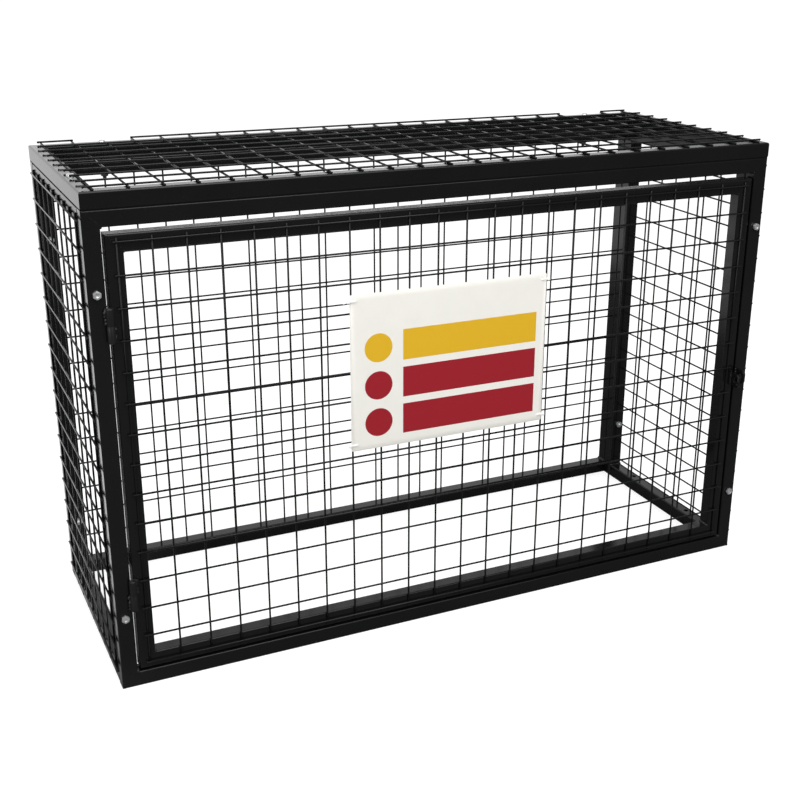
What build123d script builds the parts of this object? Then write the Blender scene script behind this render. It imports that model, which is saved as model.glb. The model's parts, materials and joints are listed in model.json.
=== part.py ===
"""Lockable cage for gas cylinders: welded mesh on frames of square box section, bolted into a box
with an open base, and one hinged mesh door that fills the front. Millimetres, +Z up, the door
faces -Y, and the origin is on the floor at the middle of the object's footprint."""
from build123d import *
import math
import os

# Driving dimensions of the cage
tube = 30.0  # side of the square box section
wall = 2.0  # its wall
tube_corner = 3.0  # its outer corner radius
door_width = 1326.0
door_height = 821.0
gap_side = 5.0  # between the door and each upright
gap_top = 12.0
gap_bottom = 5.0
cage_depth = 510.0

# Welded mesh: distances from wire to wire, and what a wire runs past the last one that it crosses
wire = 3.2
pitch_across = 58.6  # door, back and top, from left to right
pitch_up = 56.8  # door and back, from bottom to top
top_pitch = 54.5  # top, from front to back
side_pitch_up = 49.6
side_pitch_along = 53.4
mesh_margin = 12.0  # least distance from the last wire to the edge of what it is welded to
side_margin = 38.0  # the same for the side panels' upright wires
door_tail = 7.0
back_tail = 10.0
side_front_gap = 7.0  # from the level wires' front ends to the cage's front
side_rear_gap = 31.0  # from their rear ends to its back
side_top_tail = 8.0
side_bottom_tail = 22.0
top_end_gap = 9.0  # from the ends of the wires that run across to the cage's sides
top_front_tail = 15.0
top_rear_tail = 4.0
side_mesh_drop = 18.5  # first wire of a side mesh below the panel's top
back_mesh_drop = 27.0
top_mesh_margin = 19.0  # first wire of the top mesh behind the cage's front
notch_column = 2  # the top mesh's last wire is cut away at this column from each side
notch_outer_tail = 7.5  # what that wire runs past the mesh's first and last column
notch_cut_tail = 2.5  # what it runs past the column beside each cut

# Barrel hinges
barrel_radius = 7.0
hinge_half = 30.5
hinge_split_gap = 0.5
hinge_proud = 0.3  # barrel to the face that it is welded in front of
pin_radius = 4.0
pin_clearance = 0.05
pin_length = 24.0
weld_width = 4.0
upper_hinge_drop = 122.0  # from the door's top edge to the hinge's top
lower_hinge_rise = 128.0  # from the door's bottom edge to the hinge's bottom
door_swing = 165.0

# Hasp lugs
lug_thick = 5.0
lug_height = 30.0
lug_reach = 28.0
lug_corner = 8.0
lug_hole_radius = 6.0
lug_hole_out = 17.0  # hole centre in front of the frame
door_lug_inset = 3.5  # lug's middle from the door's edge
frame_lug_inset = 3.5  # lug's middle from the opening's edge
door_lug_drop = 438.0  # hole centre below the door's top edge
frame_lug_drop = 430.0

# Sign
sign_width = 412.0
sign_height = 306.0
sign_thick = 2.0
sign_left = 424.0  # from the door's left edge
sign_drop = 148.0  # from the door's top edge
sign_corner = 3.0
tie_width = 4.0
tie_thick = 1.2
tie_inset = 10.0

# Anchor holes through the side panels' bottom rails
anchor_radius = 5.5
anchor_inset = 144.5  # from the cage's front and from its back

# Sizes that follow
cage_width = door_width + 2 * (gap_side + tube)
opening_height = door_height + gap_top + gap_bottom
panel_height = opening_height + 2 * tube
cage_height = panel_height + tube
left = -cage_width / 2
right = cage_width / 2
mesh_reach = 2 * wire  # how far the two layers of wire stand off what carries them
front = -(cage_depth + mesh_reach - lug_reach) / 2
back = front + cage_depth
door_left = left + tube + gap_side
door_right = door_left + door_width
door_bottom = tube + gap_bottom
door_top = door_bottom + door_height
hinge_x = door_left - gap_side / 2
hinge_y = front - barrel_radius - hinge_proud


def save(name, shape):
    """Write one node."""
    shape.label = name
    export_step(shape, f"parts/{name}.step")


def box(low, high):
    """Box between two corners."""
    size = [b - a for a, b in zip(low, high)]
    middle = [(a + b) / 2 for a, b in zip(low, high)]
    return Pos(*middle) * Box(*size)


def section_tube(start, end, inward):
    """Box section from start to end, mitred at both ends, whose outer corner line is start to end.

    inward is the direction from that side of the rectangular frame to its middle, so each mitre
    leaves the outer side at full length and shortens the inner side by one tube."""
    along = (end - start).normalized()
    plane = Plane(origin=start, x_dir=inward, z_dir=along)
    side = math.copysign(tube / 2, sum(plane.y_dir))
    bore_side = tube - 2 * wall
    profile = RectangleRounded(tube, tube, tube_corner) - Rectangle(bore_side, bore_side)
    solid = extrude(plane * Pos(tube / 2, side) * profile, (end - start).length)
    for corner, direction in ((start, along), (end, -along)):
        cut = Plane(origin=corner, z_dir=(direction - inward).normalized())
        solid = split(solid, cut, keep=Keep.TOP)
    return solid


def mitred_frame(low, high, across, up, names):
    """Four mitred tubes round a rectangle from low to high: the rails run along across.

    names are for the bottom rail, the top rail, the post at the start and the post at the end."""
    low, high, across, up = Vector(*low), Vector(*high), Vector(*across), Vector(*up)
    width = (high - low).dot(across)
    height = (high - low).dot(up)
    a, b = low, low + across * width
    c, d = b + up * height, low + up * height
    parts = {}
    for name, start, end, inward in (
        (names[0], a, b, up),
        (names[1], c, d, -up),
        (names[2], d, a, across),
        (names[3], b, c, -across),
    ):
        parts[name] = section_tube(start, end, inward)
    return parts


def wire_between(start, end):
    """Square wire along X or Y, with its middle line from start to end."""
    low = [min(a, b) - (wire / 2 if a == b else 0) for a, b in zip(start, end)]
    high = [max(a, b) + (wire / 2 if a == b else 0) for a, b in zip(start, end)]
    return box(low, high)


def wires_in(span, pitch, margin=mesh_margin):
    """How many wires fit in span, and what is then left between the last ones and its ends."""
    count = 1 + int((span - 2 * margin) / pitch)
    return count, (span - (count - 1) * pitch) / 2


def mesh_sheet(columns, rows, pitch_x, pitch_y, tails, notches=(), notch_tails=(0.0, 0.0)):
    """Welded mesh in the XY plane, first crossing at the origin, lying on Z = 0.

    tails are how far the wires run on at the left, right, bottom and top. The wires along Y lie
    under those along X. At each column in notches the last wire along X is cut away over two
    cells, and the wire along Y stops one cell short. notch_tails are how far that last wire then
    runs on at its outer ends and at its cuts."""
    under, over = wire / 2, wire * 1.5
    tail_left, tail_right, tail_bottom, tail_top = tails
    width = (columns - 1) * pitch_x
    wires = []
    for i in range(columns):
        last = rows - 2 if i in notches else rows - 1
        x = i * pitch_x
        wires.append(wire_between((x, -tail_bottom, under), (x, last * pitch_y + tail_top, under)))
    tail_outer, tail_cut = notch_tails
    for j in range(rows):
        y = j * pitch_y
        starts, ends = [-tail_left], [width + tail_right]
        if notches and j == rows - 1:
            starts = [-tail_outer] + [(n + 1) * pitch_x - tail_cut for n in notches]
            ends = [(n - 1) * pitch_x + tail_cut for n in notches] + [width + tail_outer]
        for a, b in zip(starts, ends):
            wires.append(wire_between((a, y, over), (b, y, over)))
    return wires[0].fuse(*wires[1:])


def barrel(length):
    """Hinge barrel standing on Z = 0."""
    return Pos(0, 0, length / 2) * Cylinder(barrel_radius, length)


def weld(length, side):
    """Bead between a barrel and the flat face beside its gap; side is +1 for the door's side."""
    deep = barrel_radius + hinge_proud
    inner = gap_side / 2 + 0.5
    a = side * inner
    b = side * (inner + weld_width)
    return box((min(a, b), 0, 2), (max(a, b), deep, length - 2))


def hinge_halves(base_z, lower_side):
    """Lower half with the pin and upper half with its bore; lower_side is +1 if it is the door's."""
    top_z = 2 * hinge_half + hinge_split_gap
    lower = barrel(hinge_half) + weld(hinge_half, lower_side)
    lower += Pos(0, 0, hinge_half + pin_length / 2) * Cylinder(pin_radius, pin_length)
    upper = barrel(hinge_half) + weld(hinge_half, -lower_side)
    upper -= Pos(0, 0, pin_length / 2) * Cylinder(pin_radius + pin_clearance, pin_length + 1)
    upper = Pos(0, 0, top_z - hinge_half) * upper
    place = Pos(hinge_x, hinge_y, base_z)
    return place * lower, place * upper


def lug(x, z):
    """Flat ear standing out of the front, with a hole for the padlock's shackle."""
    side_view = Plane(origin=(x - lug_thick / 2, front, z), x_dir=(0, -1, 0), z_dir=(1, 0, 0))
    outline = Pos(lug_reach / 2, 0) * Rectangle(lug_reach, lug_height)
    outline = chamfer(outline.vertices().group_by(Axis.X)[-1], lug_corner)
    outline -= Pos(lug_hole_out, 0) * Circle(lug_hole_radius)
    return extrude(side_view * outline, lug_thick)


os.makedirs("parts", exist_ok=True)
nodes = {}

# Front frame, the door's frame and the back panel's frame
for low, high, names in (
    ((left, front, 0), (right, front, panel_height),
     ("front_bottom_rail", "front_top_rail", "front_left_upright", "front_right_upright")),
    ((door_left, front, door_bottom), (door_right, front, door_top),
     ("door_bottom_rail", "door_top_rail", "door_left_stile", "door_right_stile")),
    ((left, back - tube, 0), (right, back - tube, panel_height),
     ("back_bottom_rail", "back_top_rail", "back_left_post", "back_right_post")),
):
    nodes.update(mitred_frame(low, high, (1, 0, 0), (0, 0, 1), names))

# Side panels between them, and the top frame over all
for side, x in (("left", left), ("right", right - tube)):
    nodes.update(mitred_frame(
        (x, front + tube, 0), (x, back - tube, panel_height), (0, 1, 0), (0, 0, 1),
        [f"{side}_{piece}" for piece in ("bottom_rail", "top_rail", "front_post", "rear_post")],
    ))
nodes.update(mitred_frame(
    (left, front, panel_height), (right, back, panel_height), (1, 0, 0), (0, 1, 0),
    ("top_front_rail", "top_back_rail", "top_left_rail", "top_right_rail"),
))

# Anchor holes down through both walls of the side panels' bottom rails
for side, x in (("left", left + tube / 2), ("right", right - tube / 2)):
    for y in (front + anchor_inset, back - anchor_inset):
        hole = Pos(x, y, tube / 2) * Cylinder(anchor_radius, 2 * tube)
        nodes[f"{side}_bottom_rail"] -= hole

# Door mesh, in the middle of the door's front
door_columns, door_rest_x = wires_in(door_width, pitch_across)
door_rows, door_rest_z = wires_in(door_height, pitch_up)
nodes["door_mesh"] = Plane(
    origin=(door_left + door_rest_x, front, door_bottom + door_rest_z),
    x_dir=(1, 0, 0), z_dir=(0, -1, 0),
) * mesh_sheet(door_columns, door_rows, pitch_across, pitch_up, [door_tail] * 4)

# Back mesh, on the outside of the back panel
back_columns, back_rest_x = wires_in(cage_width, pitch_across)
back_rows, _ = wires_in(panel_height, pitch_up)
back_mesh_z = panel_height - back_mesh_drop - (back_rows - 1) * pitch_up
nodes["back_mesh"] = Plane(
    origin=(right - back_rest_x, back, back_mesh_z), x_dir=(-1, 0, 0), z_dir=(0, 1, 0)
) * mesh_sheet(back_columns, back_rows, pitch_across, pitch_up, [back_tail] * 4)

# Side meshes, whose level wires run from the front of the cage to its back
side_columns, side_rest = wires_in(cage_depth, side_pitch_along, side_margin)
side_rows, _ = wires_in(panel_height, side_pitch_up)
side_mesh_z = panel_height - side_mesh_drop - (side_rows - 1) * side_pitch_up
side_grid = (side_columns, side_rows, side_pitch_along, side_pitch_up)
side_front_tail = side_rest - side_front_gap
side_rear_tail = side_rest - side_rear_gap
nodes["left_mesh"] = Plane(
    origin=(left, back - side_rest, side_mesh_z), x_dir=(0, -1, 0), z_dir=(-1, 0, 0)
) * mesh_sheet(*side_grid, (side_rear_tail, side_front_tail, side_bottom_tail, side_top_tail))
nodes["right_mesh"] = Plane(
    origin=(right, front + side_rest, side_mesh_z), x_dir=(0, 1, 0), z_dir=(1, 0, 0)
) * mesh_sheet(*side_grid, (side_front_tail, side_rear_tail, side_bottom_tail, side_top_tail))

# Top mesh, whose last wire lies along the back rail and is cut away round two bolts
top_columns, top_rest = wires_in(cage_width, pitch_across)
top_rows = 1 + int((cage_depth - top_mesh_margin) / top_pitch)
top_tails = (top_rest - top_end_gap, top_rest - top_end_gap, top_front_tail, top_rear_tail)
nodes["top_mesh"] = Plane(
    origin=(left + top_rest, front + top_mesh_margin, cage_height)
) * mesh_sheet(
    top_columns, top_rows, pitch_across, top_pitch, top_tails,
    (notch_column, top_columns - 1 - notch_column), (notch_outer_tail, notch_cut_tail),
)

# Hinges: the upper one carries the door on its lower half, the lower one on its upper half
upper_z = door_top - upper_hinge_drop - 2 * hinge_half - hinge_split_gap
nodes["upper_hinge_door_half"], nodes["upper_hinge_frame_half"] = hinge_halves(upper_z, 1)
lower_z = door_bottom + lower_hinge_rise
nodes["lower_hinge_frame_half"], nodes["lower_hinge_door_half"] = hinge_halves(lower_z, -1)

# Padlock ears on the door and on the upright beside it
nodes["door_lug"] = lug(door_right - door_lug_inset, door_top - door_lug_drop)
nodes["frame_lug"] = lug(right - tube + frame_lug_inset, door_top - frame_lug_drop)

# Sign on the mesh, and the ties that hold its corners
sign_y = front - 2 * wire
sign_x = door_left + sign_left
sign_z = door_top - sign_drop
plate = Pos(sign_width / 2, -sign_height / 2) * RectangleRounded(
    sign_width, sign_height, sign_corner
)
nodes["sign_plate"] = extrude(
    Plane(origin=(sign_x, sign_y, sign_z), x_dir=(1, 0, 0), z_dir=(0, -1, 0)) * plate, sign_thick
)
ties = []
for x in (sign_x + tie_inset, sign_x + sign_width - tie_inset):
    for z in (sign_z - tie_inset, sign_z - sign_height + tie_inset):
        low = (x - tie_width, sign_y - sign_thick - tie_thick, z - tie_width / 2)
        ties.append(box(low, (x + tie_width, sign_y - sign_thick, z + tie_width / 2)))
nodes["sign_ties"] = Compound(children=ties)

for name, shape in nodes.items():
    save(name, shape)
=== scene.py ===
"""Looks of the gas cylinder cage: gloss black paint on the welded frames, round wire mesh, weld
beads, zinc bolts and nuts, barrel hinges, padlock ears and the tied-on sign. Metres, +Z up."""

import json
import math
import random

import bmesh
import bpy
from mathutils import Matrix, Vector


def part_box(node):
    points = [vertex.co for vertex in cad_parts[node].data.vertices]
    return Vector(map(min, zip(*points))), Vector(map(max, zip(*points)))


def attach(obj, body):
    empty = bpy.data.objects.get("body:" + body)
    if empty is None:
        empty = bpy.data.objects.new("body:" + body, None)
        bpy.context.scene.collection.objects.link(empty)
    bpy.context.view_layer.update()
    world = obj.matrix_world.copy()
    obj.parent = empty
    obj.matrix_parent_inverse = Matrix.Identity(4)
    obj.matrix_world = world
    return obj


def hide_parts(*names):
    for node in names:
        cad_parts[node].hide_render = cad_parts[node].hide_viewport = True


bl_info = {
    "name": "Gas Cylinder Cage",
    "version": (1, 0, 0),
    "blender": (4, 5, 0),
    "location": "3D View > Sidebar > Cage",
    "description": "Dresses the packed cage with wire, welds, bolts, hinges, paint and a stage",
    "category": "Object",
}

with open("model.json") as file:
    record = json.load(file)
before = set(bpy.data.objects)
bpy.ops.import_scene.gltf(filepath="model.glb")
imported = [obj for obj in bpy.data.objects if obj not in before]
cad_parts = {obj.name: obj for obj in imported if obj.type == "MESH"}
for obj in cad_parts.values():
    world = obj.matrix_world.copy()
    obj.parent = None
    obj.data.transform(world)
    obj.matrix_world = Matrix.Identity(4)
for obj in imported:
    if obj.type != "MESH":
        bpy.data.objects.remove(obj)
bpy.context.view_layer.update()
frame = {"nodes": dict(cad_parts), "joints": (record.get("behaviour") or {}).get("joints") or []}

MM = 0.001
TUBE = 30 * MM  # side of the frames' box section
NEAR = 1e-6  # places this close to each other are the same
X, Y, Z = Vector((1, 0, 0)), Vector((0, 1, 0)), Vector((0, 0, 1))

# Each welded frame: name, body, lower and upper rail, and its directions across, up and out
PANELS = (
    ("front", "cage", "front_bottom_rail", "front_top_rail", X, Z, -Y),
    ("door", "door", "door_bottom_rail", "door_top_rail", X, Z, -Y),
    ("back", "cage", "back_bottom_rail", "back_top_rail", X, Z, Y),
    ("left", "cage", "left_bottom_rail", "left_top_rail", Y, Z, -X),
    ("right", "cage", "right_bottom_rail", "right_top_rail", Y, Z, X),
    ("top", "cage", "top_front_rail", "top_back_rail", X, Y, Z),
)
FRAME_NODES = {
    "cage": [
        "front_bottom_rail", "front_top_rail", "front_left_upright", "front_right_upright",
        "left_bottom_rail", "left_top_rail", "left_front_post", "left_rear_post",
        "right_bottom_rail", "right_top_rail", "right_front_post", "right_rear_post",
        "back_bottom_rail", "back_top_rail", "back_left_post", "back_right_post",
        "top_front_rail", "top_back_rail", "top_left_rail", "top_right_rail",
    ],
    "door": ["door_bottom_rail", "door_top_rail", "door_left_stile", "door_right_stile"],
}


def size(name, description, millimetres):
    """Length property in metres whose default is written in millimetres."""
    return bpy.props.FloatProperty(
        name=name, description=description, default=millimetres * MM, min=0.0, unit="LENGTH",
        precision=5,
    )


def colour(name, description, default):
    """Colour property, in linear values."""
    return bpy.props.FloatVectorProperty(
        name=name, description=description, default=default, min=0.0, max=1.0, size=3,
        subtype="COLOR",
    )


def number(name, description, default):
    """Property that is a plain number."""
    return bpy.props.FloatProperty(name=name, description=description, default=default)


def angle(name, description, degrees):
    """Angle property whose default is written in degrees."""
    return bpy.props.FloatProperty(
        name=name, description=description, subtype="ANGLE", default=math.radians(degrees)
    )


class CageMeshSettings(bpy.types.PropertyGroup):
    """Sizes of the welded mesh."""

    wire: size("Wire", "Diameter of the mesh wire", 3.7)
    thick: size("Sheet thickness", "Thickness of two crossed wires, pressed together", 6.4)
    across: size("Pitch across", "From wire to wire along the cage", 58.6)
    up: size("Pitch up", "From wire to wire up the door and the back", 56.8)
    deep: size("Pitch of the top", "From wire to wire over the top, front to back", 54.5)
    side_up: size("Side pitch up", "From wire to wire up the sides", 49.6)
    side_along: size("Side pitch along", "From wire to wire along the sides", 53.4)
    nub: size("Weld at wire ends", "Radius of the weld that holds a wire's end", 1.5)


class CageHardwareSettings(bpy.types.PropertyGroup):
    """Sizes of the bolts, hinges and ears."""

    bolt_flats: size("Head across flats", "Bolt head and nut across their flats", 13.0)
    bolt_head: size("Head height", "Height of the bolt head", 5.0)
    bolt_thread: size("Thread", "Diameter of the bolt's thread", 8.0)
    washer: size("Washer", "Diameter of the washer", 16.5)
    washer_thick: size("Washer thickness", "Thickness of the washer", 1.2)
    nut_height: size("Nut height", "Height of the nut", 6.4)
    button: size("Button head", "Diameter of the round heads on the top", 14.0)
    button_high: size("Button head height", "Height of the round heads", 4.4)
    barrel: size("Hinge barrel", "Radius of the hinge barrels", 7.0)
    ear_corner: size("Ear corner", "Corner radius of the padlock ears", 8.0)
    ear_hole: size("Ear hole", "Radius of the hole for the padlock", 6.0)


class CageFinishSettings(bpy.types.PropertyGroup):
    """Colours of the finishes."""

    paint: colour("Paint", "Gloss black paint of the frames and the mesh", (0.0055, 0.0055, 0.006))
    zinc: colour("Zinc", "Bright zinc of the bolt heads and the posts' nuts", (0.86, 0.87, 0.88))
    # painted shade: a darkened copy of the zinc for the nuts that sit in shadow under the top
    dull: colour("Dull zinc", "Greyed zinc of the nuts under the top", (0.2, 0.2, 0.21))
    plate: colour("Sign plate", "Off-white face of the sign", (0.86, 0.845, 0.785))
    yellow: colour("Yellow band", "Upper colour field of the sign", (0.73, 0.43, 0.014))
    red: colour("Red bands", "Lower colour fields of the sign", (0.325, 0.008, 0.018))
    nylon: colour("Ties", "Natural nylon of the sign's ties", (0.98, 0.975, 0.95))


class CageStageSettings(bpy.types.PropertyGroup):
    """Camera and light."""

    lens: number("Lens", "Focal length in millimetres", 55.662)
    shift_x: number("Shift X", "Sideways shift of the camera", -0.0543)
    shift_y: number("Shift Y", "Upward shift of the camera", -0.0018)
    place: bpy.props.FloatVectorProperty(
        name="Camera", description="Where the camera stands", subtype="TRANSLATION",
        default=(-1.0377, -2.2612, 1.3183),
    )
    yaw: angle("Yaw", "Turn of the camera to the right", 26.240)
    pitch: angle("Pitch", "Tilt of the camera down", 20.499)
    roll: angle("Roll", "Turn of the camera about its axis", -0.782)
    sky: number("Room light", "Level of the light from all round", 0.9)


SETTINGS = {
    "cage_mesh": CageMeshSettings,
    "cage_hardware": CageHardwareSettings,
    "cage_finish": CageFinishSettings,
    "cage_stage": CageStageSettings,
}


class Value:
    """A shader socket that takes part in sums; each operator adds its Math node."""

    def __init__(self, graph, socket):
        self.graph = graph
        self.socket = socket

    def sum_with(self, operation, *others):
        return self.graph.node(
            "ShaderNodeMath", {"operation": operation}, [self, *others]
        )

    def __add__(self, other):
        return self.sum_with("ADD", other)

    def __sub__(self, other):
        return self.sum_with("SUBTRACT", other)

    def __mul__(self, other):
        return self.sum_with("MULTIPLY", other)

    def __truediv__(self, other):
        return self.sum_with("DIVIDE", other)

    def __gt__(self, other):
        return self.sum_with("GREATER_THAN", other)

    def __lt__(self, other):
        return self.sum_with("LESS_THAN", other)

    def __radd__(self, other):
        return self + other

    def __rsub__(self, other):
        return self.graph.node("ShaderNodeMath", {"operation": "SUBTRACT"}, [other, self])

    def clamp(self, low=0.0, high=1.0):
        return self.sum_with("MAXIMUM", low).sum_with("MINIMUM", high)


class Graph:
    """Node tree of a material or of the world."""

    def __init__(self, tree):
        self.tree = tree

    def node(self, kind, settings, inputs, output=0):
        """Add a node, set its settings first, and then give values or links to its inputs."""
        made = self.tree.nodes.new(kind)
        for key, value in settings.items():
            setattr(made, key, value)
        pairs = inputs.items() if isinstance(inputs, dict) else enumerate(inputs)
        for key, value in pairs:
            if isinstance(value, Value):
                self.tree.links.new(value.socket, made.inputs[key])
            elif value is not None:
                made.inputs[key].default_value = value
        return Value(self, made.outputs[output])

    def source(self, kind, output):
        """Output of a node that takes no input."""
        return self.node(kind, {}, [], output)

    def axes(self, place):
        """X, Y and Z of a place, as three values."""
        split = self.node("ShaderNodeSeparateXYZ", {}, [place]).socket.node
        return [Value(self, output) for output in split.outputs]

    def ranged(self, value, low, high, start, end):
        """Value from start to end while it goes from low to high."""
        bounds = {"From Min": low, "From Max": high, "To Min": start, "To Max": end}
        return self.node("ShaderNodeMapRange", {}, {"Value": value, **bounds})


class Finish(Graph):
    """A material, with the patterns that its surface is made of."""

    def __init__(self, name):
        self.material = bpy.data.materials.new(name)
        self.material.use_nodes = True
        super().__init__(self.material.node_tree)
        self.shader = self.tree.nodes["Principled BSDF"]
        self.place = self.source("ShaderNodeTexCoord", "Object")

    def noise(self, scale, detail=2.0, rough=0.5):
        """Noise about one half."""
        return self.node(
            "ShaderNodeTexNoise", {},
            {"Vector": self.place, "Scale": scale, "Detail": detail, "Roughness": rough},
        )

    def specks(self, scale, radius, share):
        """Mask of small round specks in a share of the cells."""
        cells = {"Vector": self.place, "Scale": scale}
        near = self.node("ShaderNodeTexVoronoi", {}, cells, "Distance") < radius
        shade = self.node("ShaderNodeTexVoronoi", {}, cells, "Color")
        pick = self.node("ShaderNodeSeparateXYZ", {}, [shade])
        return near * (pick < share)

    def mix(self, factor, first, second):
        """Colour between two."""
        first, second = (c if isinstance(c, Value) else (*c, 1.0) for c in (first, second))
        return self.node(
            "ShaderNodeMix", {"data_type": "RGBA"}, {0: factor, 6: first, 7: second}, 2
        )

    def wear(self, **sockets):
        """Give the shader its values and links; spaces in socket names are underscores."""
        for name, value in sockets.items():
            socket = self.shader.inputs[name.replace("_", " ")]
            if isinstance(value, Value):
                self.tree.links.new(value.socket, socket)
            elif hasattr(value, "__len__"):
                socket.default_value = (*value, 1.0)[:4]
            else:
                socket.default_value = value

    def bump(self, height, distance):
        """Relief of this height, its full depth given in metres."""
        return self.node(
            "ShaderNodeBump", {}, {"Height": height, "Distance": distance, "Strength": 1.0},
            "Normal",
        )


def paint_finish(name, tone, rough, peel, ior):
    """Gloss black paint with the soft ripple of a sprayed coat, a little dust and handling marks."""
    f = Finish(name)
    clouds = f.noise(9.0, 4.0, 0.6)
    smudges = f.noise(38.0, 5.0, 0.65)
    dust = f.specks(520.0, 0.16, 0.10) * (smudges > 0.45)
    shade = f.mix(clouds, [c * 0.75 for c in tone], [c * 1.3 for c in tone])
    shade = f.mix(dust * 0.35, shade, (0.05, 0.048, 0.045))
    ripple = f.noise(330.0, 2.0, 0.5) * 0.6 + f.noise(42.0, 1.0) * 2.2
    f.wear(
        Base_Color=shade, Roughness=(rough + (smudges - 0.5) * 0.12 + dust * 0.2).clamp(0.05, 0.7),
        Normal=f.bump(ripple, peel), IOR=ior,
    )
    return f.material


def weld_finish(name, tone):
    """Painted weld: the same paint over a rougher, spattered metal."""
    f = Finish(name)
    lumps = f.noise(900.0, 3.0, 0.6)
    shade = f.mix(lumps, [c * 0.7 for c in tone], [c * 1.5 for c in tone])
    f.wear(
        Base_Color=shade, Roughness=(lumps * 0.3 + 0.2).clamp(0.1, 0.7),
        Normal=f.bump(lumps, 0.00025),
    )
    return f.material


def shadow_strip_finish(name, tone):
    """Painted shade: dull black that stands in for the shadow deep in the joints between panels."""
    f = Finish(name)
    # random darker mottling across the painted shade
    shadow_mottle = f.noise(300.0, 4.0, 0.7)
    f.wear(
        Base_Color=f.mix(shadow_mottle, [c * 0.3 for c in tone], tone), Roughness=shadow_mottle * 0.2 + 0.8,
        Normal=f.bump(shadow_mottle, 0.0001), Specular_IOR_Level=0.05,
    )
    return f.material


def zinc_finish(name, tone):
    """Bright zinc plate, slightly cloudy and with fine marks."""
    f = Finish(name)
    clouds = f.noise(240.0, 4.0, 0.6)
    marks = f.noise(1500.0, 2.0, 0.6)
    shade = f.mix(clouds, [c * 0.72 for c in tone], tone)
    f.wear(
        Base_Color=shade, Metallic=0.8, Roughness=(clouds * 0.22 + marks * 0.1 + 0.14).clamp(),
        Normal=f.bump(marks, 0.00004),
    )
    return f.material


def nylon_finish(name, tone):
    """Milky nylon with a faint ribbing."""
    f = Finish(name)
    grain = f.noise(1400.0, 2.0)
    f.wear(
        Base_Color=f.mix(grain, [c * 0.88 for c in tone], tone),
        Roughness=(grain * 0.2 + 0.33).clamp(), Normal=f.bump(grain, 0.00008),
    )
    return f.material


def inside(value, low, high):
    """Mask of the values between two bounds."""
    return (value > low) * (value < high)


def sign_finish(name, fields, dots, plate, face_y):
    """Printed sheet: plain colour fields and dots on its off-white front face at face_y.

    fields are (low x, high x, low z, high z, colour) and dots (x, z, radius, colour)."""
    f = Finish(name)
    x, y, z = f.axes(f.place)
    mottle = f.noise(26.0, 4.0, 0.6)
    scuffs = f.noise(160.0, 6.0, 0.7)
    printed_side = y < face_y + 0.0005
    shade = f.mix(mottle, [c * 0.955 for c in plate], [min(1.0, c * 1.03) for c in plate])
    printed = None
    for low_x, high_x, low_z, high_z, tone in fields:
        mask = inside(x, low_x, high_x) * inside(z, low_z, high_z) * printed_side
        shade = f.mix(mask, shade, tone)
        printed = mask if printed is None else printed + mask
    for centre_x, centre_z, radius, tone in dots:
        across = x - centre_x
        above = z - centre_z
        mask = (across * across + above * above < radius * radius) * printed_side
        shade = f.mix(mask, shade, tone)
        printed = printed + mask
    dust = f.specks(420.0, 0.12, 0.05)
    shade = f.mix(dust * 0.25, shade, (0.3, 0.28, 0.25))
    f.wear(
        Base_Color=shade,
        Roughness=(scuffs * 0.2 + 0.36 - printed * 0.06).clamp(0.1, 0.9),
        Normal=f.bump(scuffs, 0.00003),
    )
    return f.material


def deselect():
    """Leave edit mode and deselect everything."""
    if bpy.context.mode != "OBJECT":
        bpy.ops.object.mode_set(mode="OBJECT")
    bpy.ops.object.select_all(action="DESELECT")


def activate(*objects):
    """Select these objects and make the first one active."""
    deselect()
    for one in objects:
        one.select_set(True)
    bpy.context.view_layer.objects.active = objects[0]
    return objects[0]


def round_off(obj, pick, width, segments):
    """Bevel the edges for which pick says yes."""
    activate(obj)
    bpy.ops.object.mode_set(mode="EDIT")
    bpy.ops.mesh.select_mode(type="EDGE")
    bpy.ops.mesh.select_all(action="DESELECT")
    shape = bmesh.from_edit_mesh(obj.data)
    for edge in shape.edges:
        edge.select = bool(pick(edge))
    shape.select_flush_mode()
    bmesh.update_edit_mesh(obj.data)
    bpy.ops.mesh.bevel(offset=width, segments=segments, affect="EDGES")
    bpy.ops.object.mode_set(mode="OBJECT")


def reach(edge, axis):
    """How far an edge runs along the axis of this number."""
    return abs(edge.verts[0].co[axis] - edge.verts[1].co[axis])


def is_level(edge):
    """Whether both ends of an edge lie at one height."""
    return reach(edge, 2) < NEAR


def turn_to(direction):
    """Rotation that brings +Z to this direction."""
    return Vector(direction).to_track_quat("Z", "Y").to_euler()


def rod(start, end, radius, sides=12, rim=0.0):
    """Round bar from start to end, its rims taken off by a small bevel."""
    start, end = Vector(start), Vector(end)
    deselect()
    bpy.ops.mesh.primitive_cylinder_add(
        vertices=sides, radius=radius, depth=(end - start).length,
        location=(start + end) / 2, rotation=turn_to(end - start),
    )
    made = bpy.context.object
    if rim:
        round_off(made, is_level, rim, 1)
    settle(made)
    return made


def block(low, high):
    """Box between two corners, with its place in its mesh."""
    low, high = Vector(low), Vector(high)
    deselect()
    bpy.ops.mesh.primitive_cube_add(size=1.0, location=(low + high) / 2)
    made = bpy.context.object
    made.scale = high - low
    settle(made)
    return made


def settle(obj):
    """Put the object's place, turn and scale into its mesh."""
    activate(obj)
    bpy.ops.object.transform_apply(location=True, rotation=True, scale=True)
    return obj


def modify(obj, kind, **settings):
    """Add a modifier and apply it."""
    activate(obj)
    modifier = obj.modifiers.new(kind.title(), kind)
    for key, value in settings.items():
        setattr(modifier, key, value)
    bpy.ops.object.modifier_apply(modifier=modifier.name)
    return obj


def soften(obj, width):
    """Take the sharp edges off."""
    return modify(
        obj, "BEVEL", width=width, segments=2, limit_method="ANGLE", angle_limit=math.radians(50)
    )


def combine(obj, tool, operation="DIFFERENCE"):
    """Cut the tool out of the object, or keep what they share; the tool goes."""
    modify(obj, "BOOLEAN", operation=operation, object=tool, solver="EXACT")
    bpy.data.objects.remove(tool)
    return obj


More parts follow.
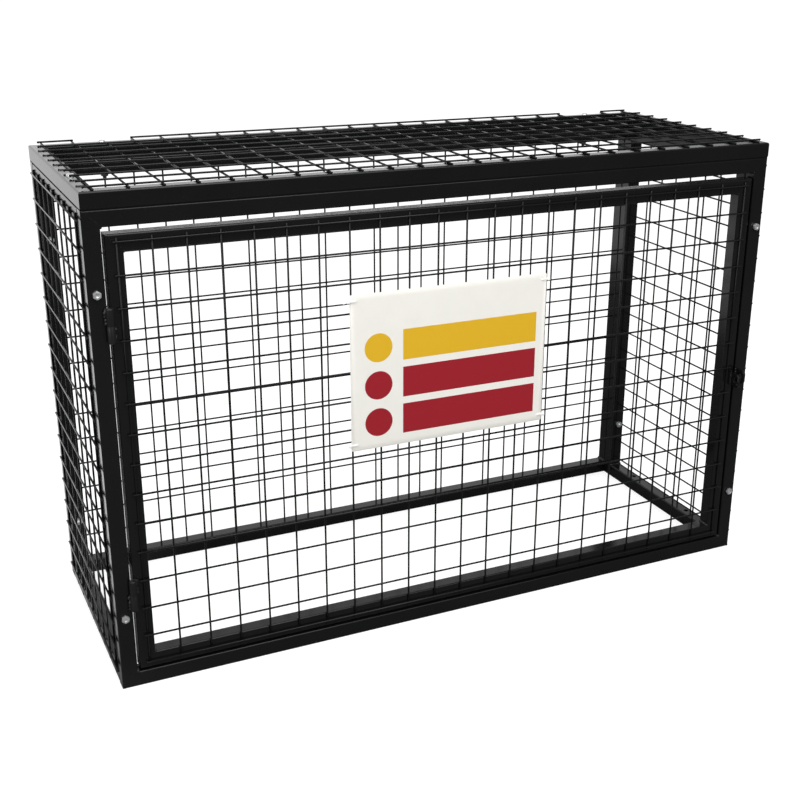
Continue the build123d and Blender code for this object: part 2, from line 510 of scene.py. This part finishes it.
def repeat(obj, count, step):
    """Row of count copies, each one step further."""
    if count < 2:
        return obj
    return modify(
        obj, "ARRAY", count=count, use_relative_offset=False, use_constant_offset=True,
        constant_offset_displace=step,
    )


def join(objects, name):
    """One object of several, under this name."""
    first = activate(*objects)
    if len(objects) > 1:
        bpy.ops.object.join()
    first.name = name
    first.data.name = name
    return first


def copies(source, places):
    """Copies of source at each matrix, joined; the source goes."""
    made = []
    for place in places:
        one = source.copy()
        one.data = source.data.copy()
        bpy.context.collection.objects.link(one)
        one.matrix_world = place
        settle(one)
        made.append(one)
    bpy.data.objects.remove(source)
    joined = activate(*made)
    if len(made) > 1:
        bpy.ops.object.join()
    return joined


def dress(obj, finish, body, nodes=(), smooth=40.0):
    """Last steps of a piece: smooth shading, finish, body, slot and the nodes it stands for."""
    activate(obj)
    bpy.ops.object.shade_smooth_by_angle(angle=math.radians(smooth))
    obj.data.materials.clear()
    obj.data.materials.append(finish)
    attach(obj, body)
    if nodes:
        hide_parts(*nodes)
    return obj


def material(name):
    """Finish of this name, made once."""
    f = bpy.context.scene.cage_finish
    make, *looks = {
        "frame_paint": (paint_finish, f.paint, 0.13, 0.000016, 1.4),
        "wire_paint": (paint_finish, f.paint, 0.15, 0.000008, 1.38),
        "weld_paint": (weld_finish, f.paint),
        "zinc_plate": (zinc_finish, f.zinc),
        "zinc_dull": (zinc_finish, f.dull),
        # painted shade: dull black for the strips that stand in for the shadow in the panel joints
        "seam_paint": (shadow_strip_finish, f.paint),
        # the same zinc, darkened as painted shade for the nuts in shadow under the top
        "tie_nylon": (nylon_finish, f.nylon),
    }[name]
    return bpy.data.materials.get(name) or make(name, *looks)


def dress_weld(obj, body):
    """Last steps of a weld."""
    return dress(obj, material("weld_paint"), body, smooth=80.0)


def bead(points, radius, seed=1, stray=0.12):
    """Weld bead: overlapping drops that stray a little from the points, melted into one skin."""
    dice = random.Random(seed)
    drops = []
    for point in points:
        deselect()
        grown = radius * dice.uniform(0.8, 1.15)
        shift = Vector([dice.uniform(-stray, stray) * radius for _ in range(3)])
        bpy.ops.mesh.primitive_ico_sphere_add(subdivisions=2, radius=grown, location=point + shift)
        drops.append(bpy.context.object)
    made = join(drops, "bead")
    settle(made)
    return modify(made, "REMESH", mode="VOXEL", voxel_size=radius * 0.28, use_smooth_shade=True)


def flattened(obj, foot, direction, share):
    """The object pressed flat towards a plane through foot."""
    direction = Vector(direction)
    press = Matrix.Scale(share, 4, direction)
    obj.matrix_world = Matrix.Translation(foot) @ press @ Matrix.Translation(-Vector(foot))
    return settle(obj)


def line(start, end, step):
    """Points from start to end about one step apart."""
    start, end = Vector(start), Vector(end)
    count = max(2, round((end - start).length / step) + 1)
    return [start.lerp(end, i / (count - 1)) for i in range(count)]


class Sheet:
    """Where a welded mesh lies: its first crossing, its directions, counts, pitches and tails."""

    def __init__(self, node, along, up, out, grid, tails, notches=()):
        self.node = node
        self.along, self.up, self.out = along, up, out
        self.columns, self.rows, self.step_u, self.step_v = grid
        self.left, self.right, self.bottom, self.top = tails
        self.notches = notches
        self.cut_tail = 7.5 * MM
        low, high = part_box(node)
        corner = Vector()
        for axis, inset in ((along, self.left), (up, self.bottom), (out, 0.0)):
            near = low if sum(axis) > 0 else high
            corner += axis * axis.dot(near) + axis * inset
        self.origin = corner

    def at(self, u, v, w):
        """Point u along, v up and w out from the first crossing's foot."""
        return self.origin + self.along * u + self.up * v + self.out * w

    def turned(self, u, v, w):
        """Matrix that stands an upright thing on that point, with its Z out of the sheet."""
        turn = Matrix((self.along, self.up, self.out)).transposed().to_4x4()
        return Matrix.Translation(self.at(u, v, w)) @ turn


def sheets():
    """The five welded meshes. A mesh's tails run from its outer crossings to the wires' ends."""
    m = bpy.context.scene.cage_mesh
    half = m.wire / 2

    def measured(node, axis, count, pitch, first):
        low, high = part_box(node)
        whole = abs((high - low).dot(axis))
        return whole - (count - 1) * pitch - first

    door = (23, 15, m.across, m.up)
    back = (24, 16, m.across, m.up)
    side = (9, 18, m.side_along, m.side_up)
    top = (24, 10, m.across, m.deep)
    found = []
    for node, along, up, out, grid, first_u, first_v, notches in (
        ("door_mesh", X, Z, -Y, door, 7 * MM, 7 * MM, ()),
        ("back_mesh", -X, Z, Y, back, 10 * MM, 10 * MM, ()),
        ("left_mesh", -Y, Z, -X, side, 10.4 * MM, 22 * MM, ()),
        ("right_mesh", Y, Z, X, side, 34.4 * MM, 22 * MM, ()),
        ("top_mesh", X, Y, Z, top, 15.1 * MM, 15 * MM, (2, 21)),
    ):
        last_u = measured(node, along, grid[0], grid[2], first_u)
        last_v = measured(node, up, grid[1], grid[3], first_v)
        if min(last_u, last_v) < half:
            raise RuntimeError(f"the wires of {node} don't fit its pitch")
        found.append(Sheet(node, along, up, out, grid, (first_u, last_u, first_v, last_v), notches))
    return found


def wires(sheet, wire, thick):
    """Round wires of one sheet, the upright ones under the level ones."""
    under, over = wire * 0.47, thick - wire / 2
    rim = wire * 0.12
    top_v = (sheet.rows - 1) * sheet.step_v
    made = []
    runs = []
    start = 0
    for notch in list(sheet.notches) + [sheet.columns]:
        runs.append((start, notch - start, top_v + sheet.top))
        if notch < sheet.columns:
            runs.append((notch, 1, top_v - sheet.step_v + sheet.top))
        start = notch + 1
    for first, count, reach in runs:
        u = first * sheet.step_u
        one = rod(sheet.at(u, -sheet.bottom, under), sheet.at(u, reach, under), wire / 2, rim=rim)
        made.append(repeat(one, count, sheet.along * sheet.step_u))
    width = (sheet.columns - 1) * sheet.step_u
    level = sheet.rows - 1 if sheet.notches else sheet.rows
    one = rod(sheet.at(-sheet.left, 0, over), sheet.at(width + sheet.right, 0, over), wire / 2,
              rim=rim)
    made.append(repeat(one, level, sheet.up * sheet.step_v))
    if sheet.notches:
        outer, cut = sheet.cut_tail, 2.5 * MM
        starts = [-outer] + [(n + 1) * sheet.step_u - cut for n in sheet.notches]
        ends = [(n - 1) * sheet.step_u + cut for n in sheet.notches] + [width + outer]
        for a, b in zip(starts, ends):
            made.append(rod(sheet.at(a, top_v, over), sheet.at(b, top_v, over), wire / 2, rim=rim))
    return made


def crossings(sheet, wire, thick):
    """Pressed weld nugget at each crossing."""
    deselect()
    bpy.ops.mesh.primitive_ico_sphere_add(subdivisions=1, radius=wire * 0.62)
    nugget = bpy.context.object
    nugget.scale = (1.0, 1.0, 0.55)
    settle(nugget)
    nugget.matrix_world = sheet.turned(0, 0, thick / 2)
    settle(nugget)
    repeat(nugget, sheet.columns, sheet.along * sheet.step_u)
    rows = sheet.rows - 1 if sheet.notches else sheet.rows
    return repeat(nugget, rows, sheet.up * sheet.step_v)


def end_welds(sheet, wire, radius, edges, seed):
    """Small welds where the wires' ends lie on the frame; edges are out of left right bottom top."""
    dice = random.Random(seed)
    width = (sheet.columns - 1) * sheet.step_u
    height = (sheet.rows - 1) * sheet.step_v
    spots = []
    for edge in edges:
        if edge in ("left", "right"):
            for j in range(sheet.rows):
                cut = sheet.notches and j == sheet.rows - 1
                tail = sheet.cut_tail if cut else getattr(sheet, edge)
                u = -tail if edge == "left" else width + tail
                spots.append((u, j * sheet.step_v, wire * 0.95, 1.45))
        else:
            v = -sheet.bottom if edge == "bottom" else height + sheet.top
            for i in range(sheet.columns):
                if edge == "top" and i in sheet.notches:
                    continue
                spots.append((i * sheet.step_u, v, wire * 0.35, 0.9))
    deselect()
    bpy.ops.mesh.primitive_ico_sphere_add(subdivisions=2, radius=radius)
    source = bpy.context.object
    places = []
    for u, v, w, tall in spots:
        inward_u = 2 * MM if u < 0 else (-2 * MM if u > width else 0.0)
        inward_v = 2 * MM if v < 0 else (-2 * MM if v > height else 0.0)
        grown = Matrix.Diagonal((
            dice.uniform(0.75, 1.15), dice.uniform(0.75, 1.15), tall * dice.uniform(0.7, 0.95), 1.0,
        ))
        shift_u = inward_u + dice.uniform(-0.6, 0.6) * MM
        shift_v = inward_v + dice.uniform(-0.6, 0.6) * MM
        places.append(sheet.turned(u + shift_u, v + shift_v, w) @ grown)
    return copies(source, places)


class CAGE_OT_paint_frames(bpy.types.Operator):
    """Give the welded box-section frames their gloss paint"""

    bl_idname = "cage.paint_frames"
    bl_label = "Paint the frames"

    def execute(self, context):
        finish = material("frame_paint")
        for names in FRAME_NODES.values():
            for name in names:
                node = frame["nodes"][name]
                node.data.materials.clear()
                node.data.materials.append(finish)
                for face in node.data.polygons:
                    face.material_index = 0
        return {"FINISHED"}


class CAGE_OT_mesh_sheets(bpy.types.Operator):
    """Add the round wires of the five welded meshes, with their nuggets and end welds"""

    bl_idname = "cage.mesh_sheets"
    bl_label = "Welded mesh"

    def execute(self, context):
        m = context.scene.cage_mesh
        for number, sheet in enumerate(sheets()):
            name = sheet.node.replace("_mesh", "")
            body = "door" if name == "door" else "cage"
            parts = wires(sheet, m.wire, m.thick)
            parts.append(crossings(sheet, m.wire, m.thick))
            made = join(parts, f"{name}_wires")
            dress(made, material("wire_paint"), body, [sheet.node], smooth=50.0)
            edges = {
                "door": ("left", "right", "bottom", "top"),
                "back": ("left", "right", "bottom", "top"),
                "top": ("left", "right", "bottom"),
            }.get(name, ("left", "right"))
            welds = end_welds(sheet, m.wire, m.nub, edges, 40 + number)
            welds.name = f"{name}_wire_welds"
            dress_weld(welds, body)
        return {"FINISHED"}


def frame_corners():
    """Inner corners of every frame: (name, body, list of (start, end) along the tube's depth)."""
    found = []
    for name, body, low_node, high_node, across, up, out in PANELS:
        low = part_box(low_node)[0]
        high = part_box(high_node)[1]
        near = Vector([abs(o) * p for o, p in zip(out, low)])
        far = Vector([abs(o) * p for o, p in zip(out, high)])
        runs = []
        for u in (low.dot(across) + TUBE, high.dot(across) - TUBE):
            for v in (low.dot(up) + TUBE, high.dot(up) - TUBE):
                flat = across * u + up * v
                runs.append((flat + near, flat + far))
        found.append((name, body, runs))
    return found


class CAGE_OT_corner_welds(bpy.types.Operator):
    """Add the weld beads in the inner corners of the frames"""

    bl_idname = "cage.corner_welds"
    bl_label = "Corner welds"

    def execute(self, context):
        for number, (name, body, runs) in enumerate(frame_corners()):
            beads = []
            for index, (start, end) in enumerate(runs):
                along = (end - start).normalized()
                inset = along * 3.4 * MM
                points = line(start + inset, end - inset, 3.2 * MM)
                beads.append(bead(points, 3.7 * MM, seed=number * 10 + index))
            dress_weld(join(beads, f"{name}_corner_welds"), body)
        return {"FINISHED"}


class CAGE_OT_seam_shadows(bpy.types.Operator):
    """Add dark strips of painted shade in the joints between the panels that are bolted together"""

    bl_idname = "cage.seams"
    bl_label = "Joints between panels"

    def execute(self, context):
        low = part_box("front_bottom_rail")[0]
        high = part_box("back_bottom_rail")[1]
        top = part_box("top_front_rail")[0].z
        shallow, deep, half, end = 0.3 * MM, 3 * MM, 1.7 * MM, 2 * MM
        strips = []
        for y, turn in ((low.y, 1), (high.y, -1)):
            near, far = sorted((y + turn * shallow, y + turn * deep))
            strips.append(block((low.x + end, near, top - half), (high.x - end, far, top + half)))
        for x, turn in ((low.x, 1), (high.x, -1)):
            near, far = sorted((x + turn * shallow, x + turn * deep))
            strips.append(block((near, low.y + end, top - half), (far, high.y - end, top + half)))
            for y in (low.y + TUBE, high.y - TUBE):
                strips.append(block((near, y - half, end), (far, y + half, top - end)))
        for strip in strips:
            modify(strip, "BEVEL", width=0.3 * MM, segments=1)
        # these strips are painted shade: dark stand-ins for the shadow in the grooves where the
        # panels meet
        dress(join(strips, "panel_joints"), material("seam_paint"), "cage")
        return {"FINISHED"}


class CAGE_OT_mitre_welds(bpy.types.Operator):
    """Add the ground-down welds along the mitres that show"""

    bl_idname = "cage.mitre_welds"
    bl_label = "Ground mitre welds"

    def execute(self, context):
        shown = [panel for panel in PANELS if panel[0] not in ("left", "right")]
        for number, (name, body, low_node, high_node, across, up, out) in enumerate(shown):
            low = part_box(low_node)[0]
            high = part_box(high_node)[1]
            face = out * out.dot(high if sum(out) > 0 else low)
            strips = []
            for u, turn_u in ((low.dot(across), 1), (high.dot(across), -1)):
                for v, turn_v in ((low.dot(up), 1), (high.dot(up), -1)):
                    corner = across * u + up * v + face
                    lean = across * turn_u + up * turn_v
                    points = line(corner + lean * 4 * MM, corner + lean * 27 * MM, 2.6 * MM)
                    strip = bead(points, 2.5 * MM, seed=number * 10 + len(strips), stray=0.3)
                    strips.append(flattened(strip, corner, out, 0.05))
            made = join(strips, f"{name}_mitre_welds")
            dress(made, material("frame_paint"), body, smooth=80.0)
        return {"FINISHED"}


def hexagon(h, base, height, both):
    """Six-sided block on a height, its corners rounded off at the top, and below if both."""
    corner = h.bolt_flats / 2 / math.cos(math.pi / 6)
    deselect()
    bpy.ops.mesh.primitive_cylinder_add(
        vertices=6, radius=corner, depth=height, location=(0, 0, base + height / 2)
    )
    made = settle(bpy.context.object)
    turned = rod((0, 0, base), (0, 0, base + height), corner + 0.05 * MM, 48)
    middle = base + height / 2
    round_off(turned, lambda e: is_level(e) and (both or e.verts[0].co.z > middle), 1.15 * MM, 2)
    return combine(made, turned, "INTERSECT")


def hex_head(h):
    """Hex head standing above the washer's thickness, along +Z."""
    head = hexagon(h, h.washer_thick, h.bolt_head, False)
    top = h.washer_thick + h.bolt_head
    deselect()
    bpy.ops.mesh.primitive_uv_sphere_add(
        segments=32, ring_count=24, radius=6 * MM, location=(0, 0, top + 4.7 * MM)
    )
    return combine(head, settle(bpy.context.object))


def button_head(h):
    """Low domed head with a six-sided socket, standing on the origin along +Z."""
    head = rod((0, 0, 0), (0, 0, h.button_high), h.button / 2, 40)
    round_off(head, lambda e: all(v.co.z > h.button_high / 2 for v in e.verts), 3.2 * MM, 6)
    deselect()
    bpy.ops.mesh.primitive_cylinder_add(
        vertices=6, radius=2.9 * MM, depth=4 * MM, location=(0, 0, h.button_high)
    )
    return combine(head, settle(bpy.context.object))


def washer(h):
    """Washer standing on the origin."""
    return rod((0, 0, 0), (0, 0, h.washer_thick), h.washer / 2, 40, rim=0.3 * MM)


def nut_end(h):
    """Nut with the thread's end, standing on the origin along +Z."""
    nut = hexagon(h, 0.0, h.nut_height, True)
    pitch = 1.25 * MM
    ridge = rod((0, 0, h.nut_height), (0, 0, h.nut_height + pitch), h.bolt_thread / 2, 24)
    round_off(ridge, is_level, 0.45 * MM, 1)
    threads = repeat(ridge, 3, Z * pitch)
    end = h.nut_height + 3 * pitch
    tip = rod((0, 0, end), (0, 0, end + 0.8 * MM), h.bolt_thread / 2 - 0.6 * MM, 24, rim=0.3 * MM)
    return join([nut, threads, tip], "nut_end")


def bolt_places():
    """Foot of the head, direction of the head and whether it is a hex head."""
    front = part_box("front_bottom_rail")[0]
    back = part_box("back_bottom_rail")[1]
    left, right, top = front.x, back.x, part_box("top_front_rail")[1].z
    half = TUBE / 2
    places = []
    for x, levels in ((left + half, (757, 147)), (right - half, (754, 143))):
        for z in levels:
            places.append((Vector((x, front.y, z * MM)), -Y, True))
        for z in (752 * MM, 143 * MM):
            places.append((Vector((x, back.y, z)), Y, True))
        places.append((Vector((x, front.y + 150 * MM, top)), Z, False))
        inner = math.copysign(560 * MM, x)
        places.append((Vector((inner, back.y - half, top)), Z, False))
    return places


class CAGE_OT_bolts(bpy.types.Operator):
    """Add the zinc bolts and nuts that hold the panels together"""

    bl_idname = "cage.bolts"
    bl_label = "Bolts and nuts"

    def execute(self, context):
        h = context.scene.cage_hardware
        dice = random.Random(139)
        through = 60 * MM
        kept = {"bolt_heads": [], "bolt_washers": [], "post_nuts": [], "rail_nuts": []}

        def stand(source, point, away, name):
            made = source(h)
            turn = Matrix.Rotation(dice.uniform(0, math.pi / 3), 4, "Z")
            facing = turn_to(away).to_matrix().to_4x4()
            made.matrix_world = Matrix.Translation(point) @ facing @ turn
            kept[name].append(settle(made))

        for foot, direction, hexed in bolt_places():
            stand(hex_head if hexed else button_head, foot, direction, "bolt_heads")
            if hexed:
                stand(washer, foot, direction, "bolt_washers")
            nuts = "post_nuts" if hexed else "rail_nuts"
            stand(nut_end, foot - direction * through, -direction, nuts)
        for name, finish in (
            ("bolt_heads", "zinc_plate"), ("bolt_washers", "frame_paint"),
            # the nuts under the top get the zinc darkened as painted shade
            ("post_nuts", "zinc_plate"), ("rail_nuts", "zinc_dull"),
        ):
            dress(join(kept[name], name), material(finish), "cage", smooth=30.0)
        return {"FINISHED"}


class CAGE_OT_hinges(bpy.types.Operator):
    """Add the barrel hinges with their weld beads and washers"""

    bl_idname = "cage.hinges"
    bl_label = "Hinges"

    def execute(self, context):
        h = context.scene.cage_hardware
        joint = frame["joints"][0]["pos_m"]
        axis_x, axis_y = joint[0], joint[1]
        face_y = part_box("front_bottom_rail")[0].y
        washers = []
        for level in ("upper", "lower"):
            halves = {}
            for body in ("frame", "door"):
                low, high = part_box(f"{level}_hinge_{body}_half")
                halves[body] = [low.z, high.z]
            low_body, high_body = sorted(halves, key=lambda b: halves[b][0] + halves[b][1])
            split = halves[high_body][0]
            halves[low_body][1] = split - 0.5 * MM
            for body in ("frame", "door"):
                low_z, high_z = halves[body]
                barrel = rod((axis_x, axis_y, low_z), (axis_x, axis_y, high_z), h.barrel, 40)
                outer = low_z if body == low_body else high_z
                round_off(
                    barrel, lambda e: all(abs(v.co.z - outer) < NEAR for v in e.verts), 2.2 * MM, 5
                )
                round_off(
                    barrel, lambda e: is_level(e) and abs(e.verts[0].co.z - outer) > MM, 0.5 * MM, 2
                )
                side = 1 if body == "door" else -1
                x = axis_x + side * 6.4 * MM
                y = face_y - 3.6 * MM
                run = line((x, y, low_z + 3 * MM), (x, y, high_z - 3 * MM), 2.4 * MM)
                weld = bead(run, 3.3 * MM, seed=ord(body[0]) + ord(level[0]), stray=0.55)
                carried = "door" if body == "door" else "cage"
                name = f"{level}_hinge_{body}"
                dress(join([barrel], f"{name}_barrel"), material("weld_paint"), carried,
                      [f"{name}_half"], smooth=40.0)
                weld.name = f"{name}_weld"
                dress_weld(weld, carried)
            foot, top = (Vector((axis_x, axis_y, split - gap * MM)) for gap in (0.45, 0.05))
            washers.append(rod(foot, top, h.barrel - 0.2 * MM, 40, rim=0.1 * MM))
        dress(join(washers, "hinge_washers"), material("weld_paint"), "cage")
        return {"FINISHED"}


class CAGE_OT_ears(bpy.types.Operator):
    """Add the padlock ears with their welds"""

    bl_idname = "cage.padlock_ears"
    bl_label = "Padlock ears"

    def execute(self, context):
        h = context.scene.cage_hardware
        for node, body in (("door_lug", "door"), ("frame_lug", "cage")):
            low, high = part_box(node)
            plate = block(low, high)
            round_off(
                plate, lambda e: reach(e, 0) > NEAR and all(v.co.y < low.y + NEAR for v in e.verts),
                h.ear_corner, 8,
            )
            hole = Vector(((low.x + high.x) / 2, high.y - 17 * MM, (low.z + high.z) / 2))
            combine(plate, rod(hole - X * 10 * MM, hole + X * 10 * MM, h.ear_hole, 40))
            soften(plate, 0.5 * MM)
            name = node.replace("lug", "ear")
            join([plate], name)
            dress(plate, material("frame_paint"), body, [node])
            beads = []
            for index, x in enumerate((low.x, high.x)):
                y = high.y - 0.6 * MM
                run = line((x, y, low.z + 2 * MM), (x, y, high.z - 2 * MM), 2.2 * MM)
                beads.append(bead(run, 2.3 * MM, seed=index + len(name)))
            dress_weld(join(beads, f"{name}_weld"), body)
        return {"FINISHED"}


def sign_layout(f):
    """Colour fields and dots of the sign, from its upper left corner, in metres."""
    low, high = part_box("sign_plate")
    fields = []
    for top, bottom, tone in ((76, 136, f.yellow), (150, 210, f.red), (224, 284, f.red)):
        fields.append((low.x + 106 * MM, low.x + 392 * MM, high.z - bottom * MM, high.z - top * MM,
                       tuple(tone)))
    dots = []
    for down, tone in ((106, f.yellow), (180, f.red), (254, f.red)):
        dots.append((low.x + 56 * MM, high.z - down * MM, 28 * MM, tuple(tone)))
    return fields, dots


def tie_holes():
    """Middles of the holes near the sign's corners, left ones first."""
    low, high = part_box("sign_plate")
    return [
        Vector((x, low.y, z)) for x in (low.x + 11 * MM, high.x - 10 * MM)
        for z in (low.z + 12 * MM, high.z - 12 * MM)
    ]


class CAGE_OT_sign(bpy.types.Operator):
    """Add the sign's printed sheet"""

    bl_idname = "cage.sign"
    bl_label = "Sign"

    def execute(self, context):
        f = context.scene.cage_finish
        low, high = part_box("sign_plate")
        plate = block(low, high)
        round_off(plate, lambda e: reach(e, 1) > NEAR, 3 * MM, 5)
        soften(plate, 0.3 * MM)
        for point in tie_holes():
            combine(plate, rod(point - Y * 5 * MM, point + Y * 5 * MM, 1.7 * MM, 20))
        fields, dots = sign_layout(f)
        finish = sign_finish("sign_print", fields, dots, tuple(f.plate), low.y)
        join([plate], "sign_sheet")
        dress(plate, finish, "door", ["sign_plate"])
        return {"FINISHED"}


class CAGE_OT_ties(bpy.types.Operator):
    """Add the nylon ties that hold the sign's corners"""

    bl_idname = "cage.ties"
    bl_label = "Sign ties"

    def execute(self, context):
        low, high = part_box("sign_plate")
        half, lock, front = 1.8 * MM, 3 * MM, low.y - 1.3 * MM
        made = []
        for hole in tie_holes():
            side = -1 if hole.x < (low.x + high.x) / 2 else 1
            edge = low.x if side < 0 else high.x
            over = edge + side * 3.6 * MM
            ends = sorted((hole.x - side * 1.4 * MM, over))
            band = block((ends[0], front, hole.z - half), (ends[1], low.y + 0.1 * MM, hole.z + half))
            ends = sorted((over, over - side * 1.2 * MM))
            wrap = block((ends[0], front, hole.z - half), (ends[1], low.y + 8.0 * MM, hole.z + half))
            lump = block((over - lock, low.y - 3.4 * MM, hole.z - lock),
                         (over + lock, low.y + 1 * MM, hole.z + lock))
            tip = Vector((over + side * (10 if side < 0 else 1) * MM, low.y, hole.z - 2 * MM))
            tail = rod(Vector((over, low.y, hole.z)), tip, 1.3 * MM, 8)
            for part, rim in ((band, 0.5), (wrap, 0.5), (lump, 1.4)):
                made.append(modify(part, "BEVEL", width=rim * MM, segments=3))
            made.append(tail)
        dress(join(made, "sign_corner_ties"), material("tie_nylon"), "door",
              ["sign_ties"])
        return {"FINISHED"}


def stage_floor():
    """Wide floor: white to the camera, with a soft shadow; dark in mirrors but left of the cage."""
    deselect()
    bpy.ops.mesh.primitive_plane_add(size=60.0, location=(0, 0, -0.0002))
    floor = bpy.context.object
    floor.name = "stage_floor"
    f = Finish("stage_floor")
    x, y, _ = f.axes(f.place)
    camera = f.source("ShaderNodeLightPath", "Is Camera Ray")
    beside = ((-0.45 - x) / 0.3).clamp() * ((x + (y + 0.3) * 0.45 + 0.95) / 0.25).clamp()
    behind = ((y + 0.35) / 0.75).clamp() * beside
    grey = f.mix(behind, (0.115, 0.115, 0.115), (1.0, 1.0, 1.0))
    f.wear(Base_Color=f.mix(camera, grey, (0.9, 0.9, 0.9)), Roughness=0.9, Specular_IOR_Level=0.0)
    glow = f.node("ShaderNodeEmission", {}, {"Color": (1, 1, 1, 1), "Strength": 1.3})
    shown = Value(f, f.shader.outputs[0])
    mixed = f.node("ShaderNodeMixShader", {}, [camera * 0.55, shown, glow])
    output = f.tree.nodes["Material Output"]
    f.tree.links.new(mixed.socket, output.inputs["Surface"])
    floor.data.materials.append(f.material)


def stage_world(level):
    """Room light from all round; white to the camera, dimmer in mirrors in front and at the right."""
    world = bpy.data.worlds.new("studio")
    bpy.context.scene.world = world
    world.use_nodes = True
    g = Graph(world.node_tree)
    background = g.tree.nodes["Background"]
    background.inputs["Color"].default_value = (1.0, 1.0, 1.0, 1.0)
    camera, through, glossy = (
        g.source("ShaderNodeLightPath", f"Is {kind} Ray")
        for kind in ("Camera", "Transmission", "Glossy")
    )
    x, y, z = g.axes(g.source("ShaderNodeTexCoord", "Generated"))
    higher = g.ranged(z, 0.15, 0.7, 1.15, 0.5)
    dimmed = higher * g.ranged(x, 0.5, 0.66, 1.0, 0.3)
    mirrored = g.ranged(y, -0.4, 0.5, 0.2, dimmed)
    strength = g.ranged(glossy, 0.0, 1.0, level, mirrored)
    shown = camera.sum_with("MAXIMUM", through).sum_with("MAXIMUM", strength)
    g.tree.links.new(shown.socket, background.inputs["Strength"])


def softbox(name, place, aim, width, height, power):
    """Rectangular lamp that points at aim."""
    lamp = bpy.data.lights.new(name, "AREA")
    lamp.shape = "RECTANGLE"
    lamp.size = width
    lamp.size_y = height
    lamp.energy = power
    holder = bpy.data.objects.new(name, lamp)
    bpy.context.collection.objects.link(holder)
    holder.location = place
    holder.rotation_euler = (Vector(aim) - Vector(place)).to_track_quat("-Z", "Y").to_euler()


class CAGE_OT_stage(bpy.types.Operator):
    """Set the camera, the floor, the room light and the softboxes"""

    bl_idname = "cage.stage"
    bl_label = "Stage"

    def execute(self, context):
        s = context.scene.cage_stage
        context.scene.view_settings.view_transform = "Standard"
        stage_floor()
        stage_world(s.sky)
        softbox("softbox_over", (-0.5, -1.3, 3.1), (0, 0, 0.4), 3.0, 2.0, 64.0)
        softbox("softbox_left", (-3.4, -1.6, 1.9), (0, 0, 0.5), 1.8, 2.2, 34.0)
        softbox("softbox_front", (0.9, -3.6, 2.2), (0, 0, 0.5), 2.4, 1.6, 28.0)
        camera = bpy.data.objects.new("camera", bpy.data.cameras.new("camera"))
        context.collection.objects.link(camera)
        camera.data.lens = s.lens
        camera.data.sensor_width = 36.0
        camera.data.shift_x = s.shift_x
        camera.data.shift_y = s.shift_y
        camera.data.clip_start = 0.05
        ahead = Vector((
            math.sin(s.yaw) * math.cos(s.pitch), math.cos(s.yaw) * math.cos(s.pitch),
            -math.sin(s.pitch),
        ))
        level = Vector((math.cos(s.yaw), -math.sin(s.yaw), 0.0))
        down = ahead.cross(level)
        right = level * math.cos(s.roll) + down * math.sin(s.roll)
        lower = down * math.cos(s.roll) - level * math.sin(s.roll)
        turn = Matrix((right, -lower, -ahead)).transposed().to_4x4()
        camera.matrix_world = Matrix.Translation(s.place) @ turn
        context.scene.camera = camera
        return {"FINISHED"}


class CAGE_PT_panel(bpy.types.Panel):
    """Lists the pieces of the cage"""

    bl_label = "Gas cylinder cage"
    bl_idname = "CAGE_PT_panel"
    bl_space_type = "VIEW_3D"
    bl_region_type = "UI"
    bl_category = "Cage"

    def draw(self, context):
        for operator in OPERATORS:
            self.layout.operator(operator.bl_idname, text=operator.bl_label)
        for group, settings in SETTINGS.items():
            box = self.layout.box()
            for name in settings.__annotations__:
                box.prop(getattr(context.scene, group), name)


OPERATORS = (
    CAGE_OT_stage,
    CAGE_OT_paint_frames,
    CAGE_OT_mesh_sheets,
    CAGE_OT_corner_welds,
    CAGE_OT_mitre_welds,
    CAGE_OT_seam_shadows,
    CAGE_OT_bolts,
    CAGE_OT_hinges,
    CAGE_OT_ears,
    CAGE_OT_sign,
    CAGE_OT_ties,
)


def register():
    """Register the classes and hang the settings on the scene."""
    for one in (*SETTINGS.values(), *OPERATORS, CAGE_PT_panel):
        bpy.utils.register_class(one)
    for name, settings in SETTINGS.items():
        setattr(bpy.types.Scene, name, bpy.props.PointerProperty(type=settings))


def unregister():
    """Take the settings and the classes away again."""
    for name in SETTINGS:
        delattr(bpy.types.Scene, name)
    for one in reversed((*SETTINGS.values(), *OPERATORS, CAGE_PT_panel)):
        bpy.utils.unregister_class(one)


def main():
    """Build everything."""
    register()
    for operator in OPERATORS:
        group, name = operator.bl_idname.split(".")
        getattr(getattr(bpy.ops, group), name)()
    deselect()


if __name__ == "__main__":
    main()
